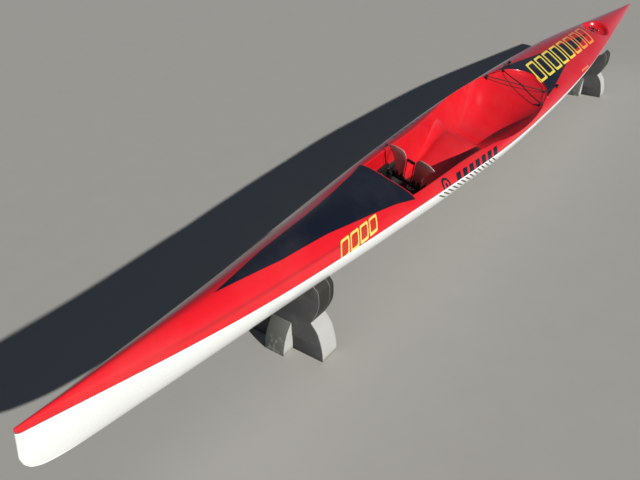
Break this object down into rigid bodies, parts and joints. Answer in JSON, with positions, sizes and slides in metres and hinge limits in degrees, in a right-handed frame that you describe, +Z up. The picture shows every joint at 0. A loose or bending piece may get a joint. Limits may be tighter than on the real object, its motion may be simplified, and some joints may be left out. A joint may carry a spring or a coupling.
{
  "type": "surf ski",
  "caption": "Long narrow surf ski with an open moulded cockpit, steering pedals, under-stern rudder and crossed deck bungee, heeled on crossed foam-board stands.",
  "frame": {"origin": "middle of the bounding box, on the ground under the stands", "axes": "+X to the bow, +Y to port, +Z up"},
  "size_m": [6.2, 0.5312, 0.6311],
  "materials": {
    "hull_white": "glossy white gelcoat",
    "deck_red": "glossy red gelcoat with navy panels",
    "stand_foam": "matt dark grey closed-cell foam",
    "black_fitting": "satin black",
    "pedal_smoky": "smoky translucent plastic",
    "steel": "satin stainless",
    "rudder_dark": "smooth dark composite",
    "cord_black": "woven sheath"
  },
  "bodies": {
    "ski_and_stands": {"hull": "hull_white", "deck_fore": "deck_red", "deck_cockpit": "deck_red", "deck_aft": "deck_red", "foot_track_port": "black_fitting", "foot_track_starboard": "black_fitting", "rudder_tube": "black_fitting", "drain_plug": "black_fitting", "bailer": "steel", "bungee_lower": "cord_black", "bungee_upper": "cord_black", "deck_hook_fore_port": "black_fitting", "deck_hook_fore_starboard": "black_fitting", "deck_hook_aft_port": "black_fitting", "deck_hook_aft_starboard": "black_fitting", "deck_peg_port": "black_fitting", "deck_peg_starboard": "black_fitting", "stand_front_cross": "stand_foam", "stand_front_low": "stand_foam", "stand_rear_cross": "stand_foam", "stand_rear_low": "stand_foam"},
    "foot_carriage": {"foot_carriage": "black_fitting"},
    "pedal_port": {"pedal_port": "pedal_smoky"},
    "pedal_starboard": {"pedal_starboard": "pedal_smoky"},
    "rudder": {"rudder_shaft": "steel", "rudder_blade": "rudder_dark", "tiller": "steel"}
  },
  "joints": [
    {"name": "footrest_slide", "type": "slide", "parent": "ski_and_stands", "child": "foot_carriage", "axis": [1, 0, 0], "range_m": [-0.09, 0.12]},
    {"name": "pedal_port_hinge", "type": "hinge", "parent": "foot_carriage", "child": "pedal_port", "pos_m": [1.052, 0.06046, 0.40503], "axis": [0, 0.9583, -0.2857], "range_deg": [-15, 15]},
    {"name": "pedal_starboard_hinge", "type": "hinge", "parent": "foot_carriage", "child": "pedal_starboard", "pos_m": [1.052, -0.03537, 0.4336], "axis": [0, 0.9583, -0.2857], "range_deg": [-15, 15]},
    {"name": "rudder_turn", "type": "hinge", "parent": "ski_and_stands", "child": "rudder", "pos_m": [-1.895, -0.00745, 0.35223], "axis": [0, 0.2857, 0.9583], "range_deg": [-35, 35]}
  ],
  "couplings": [
    {"joint": "pedal_port_hinge", "follows": "rudder_turn", "ratio": -0.4},
    {"joint": "pedal_starboard_hinge", "follows": "rudder_turn", "ratio": 0.4}
  ]
}
